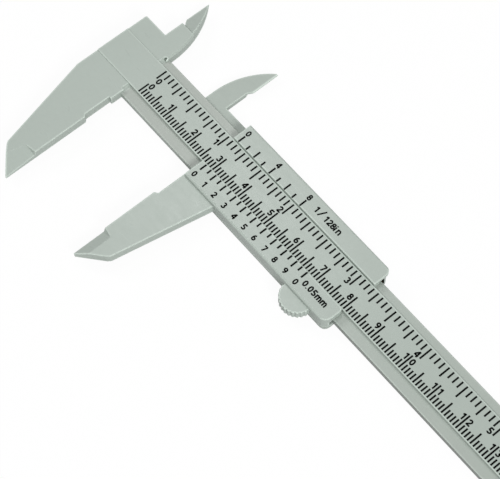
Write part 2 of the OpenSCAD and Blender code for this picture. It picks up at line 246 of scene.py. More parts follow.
def distance_from(tree: Tree, value: Socket, centre: Input) -> Socket:
    """Return how far a value lies from a centre, on either side."""
    return math_node(tree, "ABSOLUTE", math_node(tree, "SUBTRACT", value, centre), 0.0)


def object_axes(tree: Tree) -> dict[str, Socket]:
    """Add the Object coordinates, split into their three numbers.

    Args:
        tree: node tree to add to.

    Returns:
        The sockets of X, Y and Z, in metres of the frame.
    """
    place = tree.nodes.new("ShaderNodeTexCoord")
    axes = tree.nodes.new("ShaderNodeSeparateXYZ")
    tree.links.new(place.outputs["Object"], axes.inputs["Vector"])
    return {axis: axes.outputs[axis] for axis in "XYZ"}


@dataclass(frozen=True)
class Ramp:
    """Straight change of a value from one place to another, in metres; it is held beyond them."""

    start: float
    end: float
    first: float
    last: float


# Painted shade along X: the bands' shade weakens, the side wall's shade grows towards the free end.
BAND_SHADE_FADE = Ramp(0.03, 0.09, 1.0, 0.45)
SIDE_SHADE_GROWTH = Ramp(0.0, 0.1, 0.1, 1.0)


def ramp_node(tree: Tree, place: Socket, ramp: Ramp) -> Socket:
    """Add a node that follows a ramp.

    Args:
        tree: node tree to add to.
        place: the place along the ramp, in metres.
        ramp: its two places and the values there.

    Returns:
        The value at the place.
    """
    node = tree.nodes.new("ShaderNodeMapRange")
    labels = ("From Min", "From Max", "To Min", "To Max")
    for label, number in zip(labels, (ramp.start, ramp.end, ramp.first, ramp.last)):
        node.inputs[label].default_value = number
    tree.links.new(place, node.inputs["Value"])
    return node.outputs["Result"]


def tinted(tree: Tree, color: Color | Socket, wash: Color | Socket, amount: Input = 1.0) -> Socket:
    """Multiply a colour by a second one.

    Args:
        tree: node tree to add to.
        color: colour as a socket or three numbers.
        wash: the second colour or tone, as a socket or three numbers.
        amount: how much of the product shows, as a socket or a number.

    Returns:
        The tinted colour.
    """
    mix = tree.nodes.new("ShaderNodeMix")
    mix.data_type = "RGBA"
    mix.blend_type = "MULTIPLY"
    for label, value in (("Factor", amount), ("A", color), ("B", wash)):
        if isinstance(value, Socket):
            tree.links.new(value, mix.inputs[label])
        else:
            mix.inputs[label].default_value = (*value, 1.0) if isinstance(value, tuple) else value
    return mix.outputs["Result"]


@dataclass(frozen=True)
class Pattern:
    """Noise on Object coordinates: cycles per metre, octaves, and factors on X, Y and Z."""

    scale: float
    detail: float
    factors: Point = (1.0, 1.0, 1.0)


FLOW_CLOUDS = Pattern(60.0, 3.0)
SPECKLES = Pattern(900.0, 2.0)
ERODED_GRAIN = Pattern(5200.0, 2.0)
GLOSS_PATCHES = Pattern(240.0, 4.0, (1.0, 3.0, 1.0))
HAIRLINES = Pattern(420.0, 3.0, (0.25, 6.0, 1.0))
RUBBED_PATCHES = Pattern(45.0, 2.0)
# Streaks of the bands' painted shade.
BAND_SHADE_STREAKS = Pattern(260.0, 3.0, (0.12, 1.0, 1.0))
ROLLING_STREAKS = Pattern(1500.0, 3.0, (0.08, 1.0, 1.0))


def noise_node(tree: Tree, pattern: Pattern) -> Socket:
    """Add a noise texture on Object coordinates.

    Args:
        tree: node tree to add to.
        pattern: the noise's numbers.

    Returns:
        The noise value, from 0 to 1.
    """
    where = tree.nodes.new("ShaderNodeTexCoord")
    mapping = tree.nodes.new("ShaderNodeMapping")
    mapping.inputs["Scale"].default_value = pattern.factors
    noise = tree.nodes.new("ShaderNodeTexNoise")
    noise.inputs["Scale"].default_value = pattern.scale
    noise.inputs["Detail"].default_value = pattern.detail
    tree.links.new(where.outputs["Object"], mapping.inputs["Vector"])
    tree.links.new(mapping.outputs["Vector"], noise.inputs["Vector"])
    return noise.outputs["Fac"]


def moulded_skin_group() -> Tree:
    """Skin of an injection moulding: slow flow clouds, fine speckle and a spark-eroded grain.

    Returns:
        Group with inputs Cloud, Speckle and Grain, and outputs Tone (a factor around 1), Gloss (0 to 1)
        and Height.
    """
    group = new_group(
        "moulded_skin",
        {"Cloud": 0.03, "Speckle": 0.02, "Grain": 1.0},
        {"Tone": "NodeSocketFloat", "Gloss": "NodeSocketFloat", "Height": "NodeSocketFloat"},
    )
    source, out = group.nodes["In"], group.nodes["Out"]
    cloud = math_node(group, "SUBTRACT", noise_node(group, FLOW_CLOUDS), NOISE_MIDDLE)
    speckle = math_node(group, "SUBTRACT", noise_node(group, SPECKLES), NOISE_MIDDLE)
    cloud_part = product(group, cloud, source.outputs["Cloud"])
    speckle_part = product(group, speckle, source.outputs["Speckle"])
    tone = math_node(group, "ADD", math_node(group, "ADD", cloud_part, speckle_part), 1.0)
    height = product(group, noise_node(group, ERODED_GRAIN), source.outputs["Grain"])
    group.links.new(tone, out.inputs["Tone"])
    group.links.new(noise_node(group, GLOSS_PATCHES), out.inputs["Gloss"])
    group.links.new(height, out.inputs["Height"])
    return group


def handling_marks_group() -> Tree:
    """Hairline rub marks from use, long along the beam.

    They lie where a noise of fine lines and a noise of wide patches both pass their level.

    Returns:
        Group with inputs Amount, Line Level and Patch Level, and output Mask, 0 on clean skin and Amount in a
        rub mark.
    """
    levels = {"Amount": 0.5, "Line Level": 0.66, "Patch Level": 0.52}
    group = new_group("handling_marks", levels, {"Mask": "NodeSocketFloat"})
    source, out = group.nodes["In"], group.nodes["Out"]
    sharp = math_node(group, "GREATER_THAN", noise_node(group, HAIRLINES), source.outputs["Line Level"])
    here = math_node(group, "GREATER_THAN", noise_node(group, RUBBED_PATCHES), source.outputs["Patch Level"])
    group.links.new(product(group, sharp, here, source.outputs["Amount"]), out.inputs["Mask"])
    return group


def edges_group() -> Tree:
    """Masks of the ridges, which get a painted highlight (a paler colour) and a smoother finish, and of the
    creases, which get painted shade (a darker colour).

    A ridge is where short rays into the body leave it again, a crease where short rays out of it are stopped.

    Returns:
        Group with inputs Ridge Reach and Crease Reach in metres, and outputs Ridge and Crease, 0 on a flat.
    """
    group = new_group(
        "edges",
        {"Ridge Reach": 0.0004, "Crease Reach": 0.001},
        {"Ridge": "NodeSocketFloat", "Crease": "NodeSocketFloat"},
    )
    source, out = group.nodes["In"], group.nodes["Out"]
    for label, inside in (("Ridge", True), ("Crease", False)):
        rays = group.nodes.new("ShaderNodeAmbientOcclusion")
        rays.inside = inside
        rays.only_local = inside
        rays.samples = SHADER_RAYS
        group.links.new(source.outputs[f"{label} Reach"], rays.inputs["Distance"])
        group.links.new(math_node(group, "SUBTRACT", 1.0, rays.outputs["AO"]), out.inputs[label])
    return group


def track_film_group() -> Tree:
    """Masks of painted shade on the beam past the head: a warm-tinted darkening of the recessed bands and a
    darkening of the beam's lower side wall.

    The bands are what lies within the half width and near the bands' level. Their painted shade has streaks
    along X and weakens between 30 and 90 mm along X. The edge is the beam's lower side wall, from just below
    the beam's back up to the level, where the painted shade grows towards the free end.

    Returns:
        Group with inputs Half Width, Level, Head End, Side, Side Depth and Bottom in metres, and outputs
        Mask, for the bands, and Edge.
    """
    middle = DATUM.y * MM
    below_back = 0.045
    sizes = {
        "Half Width": 0.0078,
        "Level": 0.0006,
        "Head End": 0.0003,
        "Side": 0.0079,
        "Side Depth": 0.00006,
        "Bottom": (DATUM.z - below_back) * MM,
    }
    group = new_group("track_band_shade", sizes, {"Mask": "NodeSocketFloat", "Edge": "NodeSocketFloat"})
    source, out = group.nodes["In"], group.nodes["Out"]
    axes = object_axes(group)
    past_head = math_node(group, "GREATER_THAN", axes["X"], source.outputs["Head End"])
    across = distance_from(group, axes["Y"], middle)
    inside = math_node(group, "LESS_THAN", across, source.outputs["Half Width"])
    sunk = math_node(group, "LESS_THAN", distance_from(group, axes["Z"], 0.0), source.outputs["Level"])
    streaks = math_node(group, "ADD", noise_node(group, BAND_SHADE_STREAKS), NOISE_MIDDLE)
    fading = ramp_node(group, axes["X"], BAND_SHADE_FADE)
    group.links.new(product(group, inside, sunk, past_head, fading, streaks), out.inputs["Mask"])
    side_y = math_node(group, "SUBTRACT", middle, source.outputs["Side"])
    from_side = distance_from(group, axes["Y"], side_y)
    side = math_node(group, "LESS_THAN", from_side, source.outputs["Side Depth"])
    above = math_node(group, "GREATER_THAN", axes["Z"], source.outputs["Bottom"])
    below = math_node(group, "LESS_THAN", axes["Z"], source.outputs["Level"])
    growth = ramp_node(group, axes["X"], SIDE_SHADE_GROWTH)
    group.links.new(product(group, side, past_head, above, below, growth), out.inputs["Edge"])
    return group


def slot_grime_group() -> Tree:
    """Mask of near-black painted shade deep in the spring's slot, between the beam and the slider's upper
    side.

    It covers a strip of a half width about a line along X, past a start and between a floor and a top.

    Returns:
        Group with inputs Line, Half Width, Start, Floor and Top in metres, and output Mask, 1 in the slot.
    """
    sizes = {"Line": 0.03613, "Half Width": 0.00039, "Start": 0.045, "Floor": -0.0015, "Top": 0.0007}
    group = new_group("slot_deep_shade", sizes, {"Mask": "NodeSocketFloat"})
    source, out = group.nodes["In"], group.nodes["Out"]
    axes = object_axes(group)
    beside = distance_from(group, axes["Y"], source.outputs["Line"])
    narrow = math_node(group, "LESS_THAN", beside, source.outputs["Half Width"])
    past = math_node(group, "GREATER_THAN", axes["X"], source.outputs["Start"])
    low = math_node(group, "LESS_THAN", axes["Z"], source.outputs["Top"])
    above = math_node(group, "GREATER_THAN", axes["Z"], source.outputs["Floor"])
    group.links.new(product(group, narrow, past, low, above), out.inputs["Mask"])
    return group


def place_group(tree: Tree, group: Tree, values: dict[str, float] | None = None) -> Node:
    """Place a shader group in a material with its own values.

    Args:
        tree: the material's node tree.
        group: the shared group.
        values: input names and numbers, where they differ from the group's own.

    Returns:
        The group node.
    """
    node = tree.nodes.new("ShaderNodeGroup")
    node.node_tree = group
    for label, value in (values or {}).items():
        node.inputs[label].default_value = value
    return node


class SharedEffects:
    """The node groups that several materials use, each built once."""

    def __init__(self) -> None:
        """Build the groups."""
        self.skin = moulded_skin_group()
        self.marks = handling_marks_group()
        self.edges = edges_group()
        # Painted shade on the beam's bands and lower side wall.
        self.film = track_film_group()
        # Painted shade, near black, in the spring's slot.
        self.grime = slot_grime_group()


def start_material(name: str) -> tuple[Material, Tree, Node]:
    """Make a material with a Principled shader.

    Args:
        name: name of the material.

    Returns:
        The material, its tree and its Principled node.
    """
    material = bpy.data.materials.new(name)
    material.use_nodes = True
    return material, material.node_tree, material.node_tree.nodes["Principled BSDF"]


@dataclass(frozen=True)
class MouldedPlastic:
    """Pale grey-green moulded plastic with a satin skin; ridges get a painted highlight and creases painted
    shade, both as changes of brightness.
    """

    name: str
    color: Color
    roughness: float = 0.3
    gloss_spread: float = 0.16
    rub_polish: float = -0.1
    ior: float = 1.49
    specular: float = 0.45
    edge_mm: float = 0.35
    cloud: float = 0.05
    speckle: float = 0.05
    bump_mm: float = 0.012
    marks: float = 0.35
    mark_lift: float = 1.12
    ridge_mm: float = 0.45
    # Painted highlight: how much paler the colour is made on ridges.
    ridge_tone: float = 1.1
    crease_mm: float = 0.8
    # Painted shade: how much darker the colour is made in creases.
    crease_tone: float = -0.25
    # Painted shade: warm darkening of the recessed bands.
    film_tint: Color = (0.93, 0.895, 0.9)
    # Painted shade on the beam's lower side wall.
    edge_tint: Color = (0.56, 0.55, 0.55)
    # Painted shade, near black, in the spring's slot.
    grime_tint: Color = (0.035, 0.03, 0.022)

    def material(self, effects: SharedEffects) -> Material:
        """Build the material.

        Args:
            effects: the shared node groups.

        Returns:
            The material.
        """
        material, tree, shader = start_material(self.name)
        skin = place_group(tree, effects.skin, {"Cloud": self.cloud, "Speckle": self.speckle})
        marks = place_group(tree, effects.marks, {"Amount": self.marks})
        reach = {"Ridge Reach": self.ridge_mm * MM, "Crease Reach": self.crease_mm * MM}
        edges = place_group(tree, effects.edges, reach)
        tree.links.new(self._color(tree, effects, skin, marks, edges), shader.inputs["Base Color"])
        patches = math_node(tree, "SUBTRACT", skin.outputs["Gloss"], NOISE_MIDDLE)
        spread = product(tree, patches, self.gloss_spread)
        worn = math_node(tree, "ADD", marks.outputs["Mask"], edges.outputs["Ridge"])
        change = math_node(tree, "ADD", spread, product(tree, worn, self.rub_polish))
        tree.links.new(math_node(tree, "ADD", change, self.roughness), shader.inputs["Roughness"])
        tree.links.new(self._normal(tree, skin), shader.inputs["Normal"])
        shader.inputs["IOR"].default_value = self.ior
        shader.inputs["Specular IOR Level"].default_value = self.specular
        return material

    def _color(self, tree: Tree, effects: SharedEffects, skin: Node, marks: Node, edges: Node) -> Socket:
        """Return the plastic's colour with its tone, painted highlight on ridges, painted shade in creases,
        on the bands, on the beam's lower side wall and in the spring's slot, and pale rub marks.

        Args:
            tree: the material's node tree.
            effects: the shared node groups.
            skin: the placed skin group.
            marks: the placed marks group.
            edges: the placed edges group.

        Returns:
            The colour.
        """
        tone = skin.outputs["Tone"]
        # Painted highlight on ridges and painted shade in creases, as changes of the tone.
        for mask, strength in (("Ridge", self.ridge_tone), ("Crease", self.crease_tone)):
            change = product(tree, edges.outputs[mask], strength)
            tone = product(tree, tone, math_node(tree, "ADD", change, 1.0))
        color = tinted(tree, self.color, tone)
        # Painted shade on the beam's bands and lower side wall, and near-black painted shade in the spring's
        # slot.
        film = place_group(tree, effects.film)
        grime = place_group(tree, effects.grime)
        color = tinted(tree, color, self.film_tint, film.outputs["Mask"])
        color = tinted(tree, color, self.edge_tint, film.outputs["Edge"])
        # Near-black painted shade in the spring's slot.
        color = tinted(tree, color, self.grime_tint, grime.outputs["Mask"])
        pale = tree.nodes.new("ShaderNodeMix")
        pale.data_type = "RGBA"
        pale.inputs["B"].default_value = (*(min(1.0, c * self.mark_lift) for c in self.color), 1.0)
        tree.links.new(marks.outputs["Mask"], pale.inputs["Factor"])
        tree.links.new(color, pale.inputs["A"])
        return pale.outputs["Result"]

    def _normal(self, tree: Tree, skin: Node) -> Socket:
        """Return the normal with soft edges and the skin's grain.

        Args:
            tree: the material's node tree.
            skin: the placed skin group.

        Returns:
            The normal.
        """
        rounding = tree.nodes.new("ShaderNodeBevel")
        rounding.samples = SHADER_RAYS
        rounding.inputs["Radius"].default_value = self.edge_mm * MM
        bump = tree.nodes.new("ShaderNodeBump")
        bump.inputs["Strength"].default_value = 1.0
        bump.inputs["Distance"].default_value = self.bump_mm * MM
        tree.links.new(rounding.outputs["Normal"], bump.inputs["Normal"])
        tree.links.new(skin.outputs["Height"], bump.inputs["Height"])
        return bump.outputs["Normal"]


@dataclass(frozen=True)
class PrintInk:
    """Black pad-printing ink, a little uneven."""

    name: str = "scale_ink"
    color: Color = (0.003, 0.0035, 0.0032)
    roughness: float = 0.5
    gloss_spread: float = 0.2
    specular: float = 0.05
    cloud: float = 0.3
    speckle: float = 0.5

    def material(self, effects: SharedEffects) -> Material:
        """Build the material.

        Args:
            effects: the shared node groups.

        Returns:
            The material.
        """
        material, tree, shader = start_material(self.name)
        skin = place_group(tree, effects.skin, {"Cloud": self.cloud, "Speckle": self.speckle})
        tree.links.new(tinted(tree, self.color, skin.outputs["Tone"]), shader.inputs["Base Color"])
        spread = product(tree, skin.outputs["Gloss"], self.gloss_spread)
        tree.links.new(math_node(tree, "ADD", spread, self.roughness), shader.inputs["Roughness"])
        shader.inputs["Specular IOR Level"].default_value = self.specular
        return material


@dataclass(frozen=True)
class SheetMetal:
    """Rolled or plated metal with fine streaks along X."""

    name: str
    color: Color
    roughness: float
    streak: float = 0.15
    cloud: float = 0.12
    speckle: float = 0.1

    def material(self, effects: SharedEffects) -> Material:
        """Build the material.

        Args:
            effects: the shared node groups.

        Returns:
            The material.
        """
        material, tree, shader = start_material(self.name)
        shader.inputs["Metallic"].default_value = 1.0
        skin = place_group(tree, effects.skin, {"Cloud": self.cloud, "Speckle": self.speckle})
        tree.links.new(tinted(tree, self.color, skin.outputs["Tone"]), shader.inputs["Base Color"])
        streaks = product(tree, noise_node(tree, ROLLING_STREAKS), self.streak)
        tree.links.new(math_node(tree, "ADD", streaks, self.roughness), shader.inputs["Roughness"])
        return material


@dataclass
class Finishes:
    """All finishes of the caliper, built once."""

    effects: SharedEffects = field(default_factory=SharedEffects)
    by_slot: dict[Slot, Material] = field(default_factory=dict)

    def __post_init__(self) -> None:
        """Build a material for each slot."""
        recipes = {
            Slot.FRONT: MouldedPlastic("front_moulding", (0.452, 0.512, 0.466)),
            Slot.BACK: MouldedPlastic("back_moulding", (0.424, 0.479, 0.435), roughness=0.34),
            Slot.BRASS: SheetMetal("spring_brass", (0.66, 0.47, 0.2), 0.28),
            Slot.STEEL: SheetMetal("screw_zinc", (0.6, 0.61, 0.62), 0.3),
            Slot.INK: PrintInk(),
        }
        self.by_slot = {slot: recipe.material(self.effects) for slot, recipe in recipes.items()}

    def dress(self, obj: bpy.types.Object, slot: Slot) -> None:
        """Give an object the finish of a slot."""
        obj.data.materials.clear()
        obj.data.materials.append(self.by_slot[slot])


# Shapes

@dataclass
class PrintLayer:
    """Thin solid prints on one flat face: bars for the marks and ribbons for the figures."""

    face_z: float
    thickness: float = 0.012
    sunk: float = 0.01
    points: list[np.ndarray] = field(default_factory=list)
    faces: list[np.ndarray] = field(default_factory=list)
    count: int = 0

    def _add(self, points: np.ndarray, faces: np.ndarray) -> None:
        """Append vertices and quads.

        Args:
            points: (n, 3) datum points in millimetres.
            faces: (m, 4) numbers within the points; they are raised by the count of the points before.
        """
        self.points.append(points)
        self.faces.append(faces + self.count)
        self.count += len(points)

    def bars(self, x: np.ndarray, y0: np.ndarray, y1: np.ndarray, width: float) -> None:
        """Add upright marks: for each x a box from y0 to y1.

        Args:
            x: middle of each mark.
            y0: lower end of each mark.
            y1: upper end of each mark.
            width: width of all marks.
        """
        low, high = self.face_z - self.sunk, self.face_z + self.thickness
        corner_x = np.array([-0.5, 0.5, 0.5, -0.5, -0.5, 0.5, 0.5, -0.5]) * width
        at_top = np.array([0, 0, 1, 1, 0, 0, 1, 1], dtype=bool)
        corner_z = np.array([low] * 4 + [high] * 4)
        points = np.empty((len(x), 8, 3))
        points[:, :, 0] = x[:, None] + corner_x
        points[:, :, 1] = np.where(at_top, y1[:, None], y0[:, None])
        points[:, :, 2] = corner_z
        box = np.array([[3, 2, 1, 0], [4, 5, 6, 7], [0, 1, 5, 4], [1, 2, 6, 5], [2, 3, 7, 6], [3, 0, 4, 7]])
        faces = (box[None] + 8 * np.arange(len(x))[:, None, None]).reshape(-1, 4)
        self._add(points.reshape(-1, 3), faces)

    def ribbon(self, path: np.ndarray, width: float) -> None:
        """Add a flat ribbon of one width that follows a path.

        At each path point the ribbon's ring has four corners, half the width to both sides, square to the
        path's direction, at the print's bottom and top.

        Args:
            path: (n, 2) points in millimetres.
            width: the ribbon's width.
        """
        low, high = self.face_z - self.sunk, self.face_z + self.thickness
        along = np.gradient(path, axis=0)
        along /= np.linalg.norm(along, axis=1, keepdims=True)
        side = np.stack([-along[:, 1], along[:, 0]], axis=1) * width / 2
        n = len(path)
        ring = np.empty((n, 4, 3))
        ring[:, 0, :2] = ring[:, 1, :2] = path + side
        ring[:, 2, :2] = ring[:, 3, :2] = path - side
        ring[:, [0, 3], 2] = low
        ring[:, [1, 2], 2] = high
        i = np.arange(n - 1)[:, None] * 4
        k = np.arange(4)[None, :]
        after = (k + 1) % 4
        walls = np.stack([i + k, i + 4 + k, i + 4 + after, i + after], axis=-1).reshape(-1, 4)
        caps = np.array([[0, 1, 2, 3], [4 * n - 1, 4 * n - 2, 4 * n - 3, 4 * n - 4]])
        self._add(ring.reshape(-1, 3), np.concatenate([walls, caps]))

    def piece(self, name: str) -> bpy.types.Object:
        """Return all prints of this layer as one object."""
        return mesh_object(name, np.concatenate(self.points), np.concatenate(self.faces))


def line(x0: float, y0: float, x1: float, y1: float) -> np.ndarray:
    """Return a straight stroke as two points."""
    return np.array([[x0, y0], [x1, y1]])


def arc(cx: float, cy: float, rx: float, ry: float, start: float, stop: float) -> np.ndarray:
    """Return a stroke along an ellipse: centre plus (rx cos a, ry sin a), with a from start to stop.

    Args:
        cx: centre across.
        cy: centre up.
        rx: half width.
        ry: half height.
        start: first angle in degrees.
        stop: last angle in degrees.

    Returns:
        (n, 2) points, one about every ARC_STEP_DEG degrees.
    """
    steps = max(ARC_STEPS_MIN, round(abs(stop - start) / ARC_STEP_DEG))
    a = np.radians(np.linspace(start, stop, steps + 1))
    return np.stack([cx + rx * np.cos(a), cy + ry * np.sin(a)], axis=1)


def turned(strokes: list[np.ndarray], middle: float) -> list[np.ndarray]:
    """Return strokes turned by half a turn about the middle of a figure."""
    return [np.array([middle * 2, 1.0]) - stroke for stroke in strokes]


def stroke_figures() -> dict[str, tuple[float, list[np.ndarray]]]:
    """Middle lines of the strokes of plain upright figures, one unit high.

    Returns:
        For each sign its width and its strokes.
    """
    six = [arc(0.335, 0.31, 0.225, 0.205, 0, 360), arc(0.5, 0.39, 0.39, 0.51, 184, 97)]
    return {
        "0": (0.66, [arc(0.33, 0.5, 0.225, 0.395, 0, 360)]),
        "1": (0.46, [line(0.04, 0.72, 0.33, 0.93), line(0.34, 1.0, 0.34, 0.0)]),
        "2": (0.68, [arc(0.33, 0.67, 0.22, 0.225, 172, -28), line(0.52, 0.56, 0.12, 0.12),
                     line(0.04, 0.1, 0.66, 0.1)]),
        "3": (0.66, [arc(0.31, 0.7, 0.2, 0.195, 160, -90), arc(0.3, 0.3, 0.245, 0.205, 90, -158)]),
        "4": (0.7, [line(0.5, 0.95, 0.08, 0.32), line(0.02, 0.28, 0.69, 0.28), line(0.52, 1.0, 0.52, 0.0)]),
        "5": (0.66, [line(0.14, 0.9, 0.6, 0.9), line(0.16, 0.94, 0.12, 0.46),
                     arc(0.3, 0.31, 0.25, 0.21, 128, -152)]),
        "6": (0.67, six),
        "7": (0.64, [line(0.02, 0.9, 0.62, 0.9), line(0.57, 0.88, 0.24, 0.0)]),
        "8": (0.68, [arc(0.34, 0.705, 0.19, 0.19, 0, 360), arc(0.34, 0.3, 0.235, 0.2, 0, 360)]),
        "9": (0.67, turned(six, 0.335)),
        ".": (0.24, [line(0.12, 0.0, 0.12, 0.16)]),
        "/": (0.72, [line(0.04, -0.03, 0.68, 1.27)]),
        "m": (0.96, [line(0.1, 0.0, 0.1, 0.74), arc(0.3, 0.45, 0.19, 0.21, 180, 0),
                     line(0.49, 0.48, 0.49, 0.0), arc(0.68, 0.45, 0.19, 0.21, 180, 0),
                     line(0.87, 0.48, 0.87, 0.0)]),
        "n": (0.7, [line(0.1, 0.0, 0.1, 0.78), arc(0.34, 0.45, 0.23, 0.25, 180, 0),
                    line(0.57, 0.48, 0.57, 0.0)]),
        "i": (0.24, [line(0.12, 0.0, 0.12, 0.76), line(0.12, 0.88, 0.12, 1.04)]),
    }


@dataclass(frozen=True)
class Lettering:
    """How figures are printed: height in millimetres, stroke weight and gap as shares of it."""

    height: float = 1.88
    weight: float = 0.235
    gap: float = 0.1
    figures: dict[str, tuple[float, list[np.ndarray]]] = field(default_factory=stroke_figures)

    def width(self, text: str) -> float:
        """Return the width of a text in millimetres."""
        wide = sum(self.figures[sign][0] for sign in text) + self.gap * (len(text) - 1)
        return wide * self.height

    def write(self, layer: PrintLayer, text: str, x: float, y: float) -> None:
        """Print a text with its lower left corner at x, y.

        Args:
            layer: the print layer to add to.
            text: the signs.
            x: left end in millimetres.
            y: foot of the figures in millimetres.
        """
        at = x
        for sign in text:
            wide, strokes = self.figures[sign]
            for stroke in strokes:
                layer.ribbon(stroke * self.height + np.array([at, y]), self.weight * self.height)
            at += (wide + self.gap) * self.height


@dataclass
class MainScales:
    """Millimetre and inch scales on the beam's strip; foot and lengths of the marks in millimetres."""

    zero_x: float = 3.0
    face_z: float = 3.0
    tick_w: float = 0.48
    mm_count: int = 150
    mm_foot: float = -4.42
    mm_short: float = 2.1
    mm_half: float = 3.7
    mm_long: float = 4.68
    mm_zero: float = 3.4
    inch_parts: int = 16
    inches: int = 6
    inch_foot: float = 4.85
    inch_short: float = 2.15
    inch_quarter: float = 3.35
    inch_half: float = 3.9
    mm_figure_y: float = -1.92
    inch_figure_y: float = 0.45
    figure_side: float = 0.6
    lettering: Lettering = field(default_factory=Lettering)

    def millimetre_marks(self) -> PrintLayer:
        """Print the millimetre marks: every fifth is longer, every tenth the longest.

        Returns:
            The layer with the marks and their numbers.
        """
        layer = PrintLayer(self.face_z)
        i = np.arange(self.mm_count + 1)
        length = np.full(len(i), self.mm_short)
        length[i % (MM_PER_CM // 2) == 0] = self.mm_half
        length[i % MM_PER_CM == 0] = self.mm_long
        length[0] = self.mm_zero
        foot = np.full(len(i), self.mm_foot)
        layer.bars(self.zero_x + i, foot, foot + length, self.tick_w)
        for cm in range(self.mm_count // MM_PER_CM + 1):
            self._figures(layer, str(cm), self.zero_x + cm * MM_PER_CM, self.mm_figure_y)
        return layer

    def inch_marks(self) -> PrintLayer:
        """Print the inch marks: sixteenths with longer quarters and halves.

        Returns:
            The layer with the marks and their numbers.
        """
        layer = PrintLayer(self.face_z)
        i = np.arange(self.inches * self.inch_parts + 1)
        length = np.full(len(i), self.inch_short)
        length[i % (self.inch_parts // 4) == 0] = self.inch_quarter
        length[i % (self.inch_parts // 2) == 0] = self.inch_half
        length[0] = self.inch_quarter
        top = np.full(len(i), self.inch_foot)
        layer.bars(self.zero_x + i * INCH / self.inch_parts, top - length, top, self.tick_w)
        for inch in range(self.inches + 1):
            self._figures(layer, str(inch), self.zero_x + inch * INCH, self.inch_figure_y)
        return layer

    def _figures(self, layer: PrintLayer, text: str, mark_x: float, y: float) -> None:
        """Print a number about its mark: its first figure to the left, a second one and 0 to the right.

        Args:
            layer: the print layer to add to.
            text: the number.
            mark_x: place of the mark.
            y: foot of the figures.
        """
        left, right = (text[0], text[1:]) if text != "0" else ("", text)
        if left:
            self.lettering.write(layer, left, mark_x - self.figure_side - self.lettering.width(left), y)
        if right:
            self.lettering.write(layer, right, mark_x + self.figure_side, y)


@dataclass
class VernierScales:
    """The two vernier scales and their unit marks on the slider's plates."""

    zero_x: float = 31.4
    face_z: float = 3.9
    tick_w: float = 0.5
    metric_edge: float = -4.93
    metric_parts: int = 20
    metric_span: float = 39.0
    metric_long: float = 2.15
    metric_short: float = 1.5
    metric_figure_y: float = -9.72
    inch_edge: float = 5.4
    inch_parts: int = 8
    inch_span: float = INCH * 15 / 16
    inch_long: float = 2.3
    inch_short: float = 1.5
    inch_figure_y: float = 7.97
    inch_numbered: tuple[int, ...] = (0, 4, 8)
    metric_unit: str = "0.05mm"
    metric_unit_x: float = 71.75
    metric_unit_y: float = -8.2
    inch_unit_y: float = 7.17
    inch_unit: tuple[tuple[str, float], ...] = (
        ("1", 58.39), ("/", 59.9), ("1", 61.94), ("2", 63.13), ("8", 64.4), ("i", 65.63), ("n", 66.5))
    lettering: Lettering = field(default_factory=lambda: Lettering(height=1.75))
    unit_lettering: Lettering = field(default_factory=lambda: Lettering(height=1.8))

    def metric(self) -> PrintLayer:
        """Print the metric vernier: 20 parts over 39 mm, numbered 0 to 9 and 0.

        Returns:
            The layer with the marks, their numbers and the unit mark.
        """
        layer = PrintLayer(self.face_z)
        i = np.arange(self.metric_parts + 1)
        x = self.zero_x + i * self.metric_span / self.metric_parts
        length = np.where(i % 2 == 0, self.metric_long, self.metric_short)
        top = np.full(len(i), self.metric_edge)
        layer.bars(x, top - length, top, self.tick_w)
        for number, mark in enumerate(x[::2]):
            text = str(number % 10)
            self.lettering.write(layer, text, mark - self.lettering.width(text) / 2, self.metric_figure_y)
        self.unit_lettering.write(layer, self.metric_unit, self.metric_unit_x, self.metric_unit_y)
        return layer

    def inch(self) -> PrintLayer:
        """Print the inch vernier: 8 parts over 15/16 inch, numbered 0, 4 and 8.

        Returns:
            The layer with the marks, their numbers and the unit mark.
        """
        layer = PrintLayer(self.face_z)
        i = np.arange(self.inch_parts + 1)
        x = self.zero_x + i * self.inch_span / self.inch_parts
        length = np.where(i % 2 == 0, self.inch_long, self.inch_short)
        foot = np.full(len(i), self.inch_edge)
        layer.bars(x, foot, foot + length, self.tick_w)
        for part in self.inch_numbered:
            text = str(part)
            self.lettering.write(layer, text, x[part] - self.lettering.width(text) / 2, self.inch_figure_y)
        for sign, sign_x in self.inch_unit:
            self.unit_lettering.write(layer, sign, sign_x, self.inch_unit_y)
        return layer


# Assemblies

@dataclass
class Assembly:
    """Pieces that move together, with the prints on them."""

    frame: dict
    finishes: Finishes

    def dress_nodes(self, slots: dict[str, Slot]) -> None:
        """Give CAD nodes their finishes.

        Args:
            slots: names of the nodes and their slots.
        """
        for node, slot in slots.items():
            self.finishes.dress(self.frame["nodes"][node], slot)
            log.info("%s is dressed as %s", node, slot.value)

    def print_layers(self, body: Body, layers: dict[str, PrintLayer]) -> None:
        """Put prints on a body.

        Args:
            body: the body that carries them.
            layers: names of the print pieces and their layers.
        """
        for name, layer in layers.items():
            self.finishes.dress(link_piece(layer.piece(name), body), Slot.INK)


@dataclass
class BeamAssembly(Assembly):
    """Beam with its fixed jaws, its scales and the end stop."""

    scales: MainScales = field(default_factory=MainScales)

    def build(self) -> None:
        """Dress the beam's nodes and print its scales."""
        self.dress_nodes({"beam": Slot.FRONT, "end_stop": Slot.BACK, "end_stop_screws": Slot.STEEL})
        marks = {"metric_scale": self.scales.millimetre_marks(), "inch_scale": self.scales.inch_marks()}
        self.print_layers(Body.BEAM, marks)


@dataclass
class SliderAssembly(Assembly):
    """Slider with its jaws, verniers, spring and depth rod."""

    verniers: VernierScales = field(default_factory=VernierScales)

    def build(self) -> None:
        """Dress the slider's nodes and print its verniers."""
        self.dress_nodes({
            "sliding_jaw": Slot.FRONT,
            "inch_plate": Slot.FRONT,
            "slider_back": Slot.BACK,
            "depth_rod": Slot.BACK,
            "gib_spring": Slot.BRASS,
        })
        marks = {"metric_vernier": self.verniers.metric(), "inch_vernier": self.verniers.inch()}
        self.print_layers(Body.SLIDER, marks)


# Studio

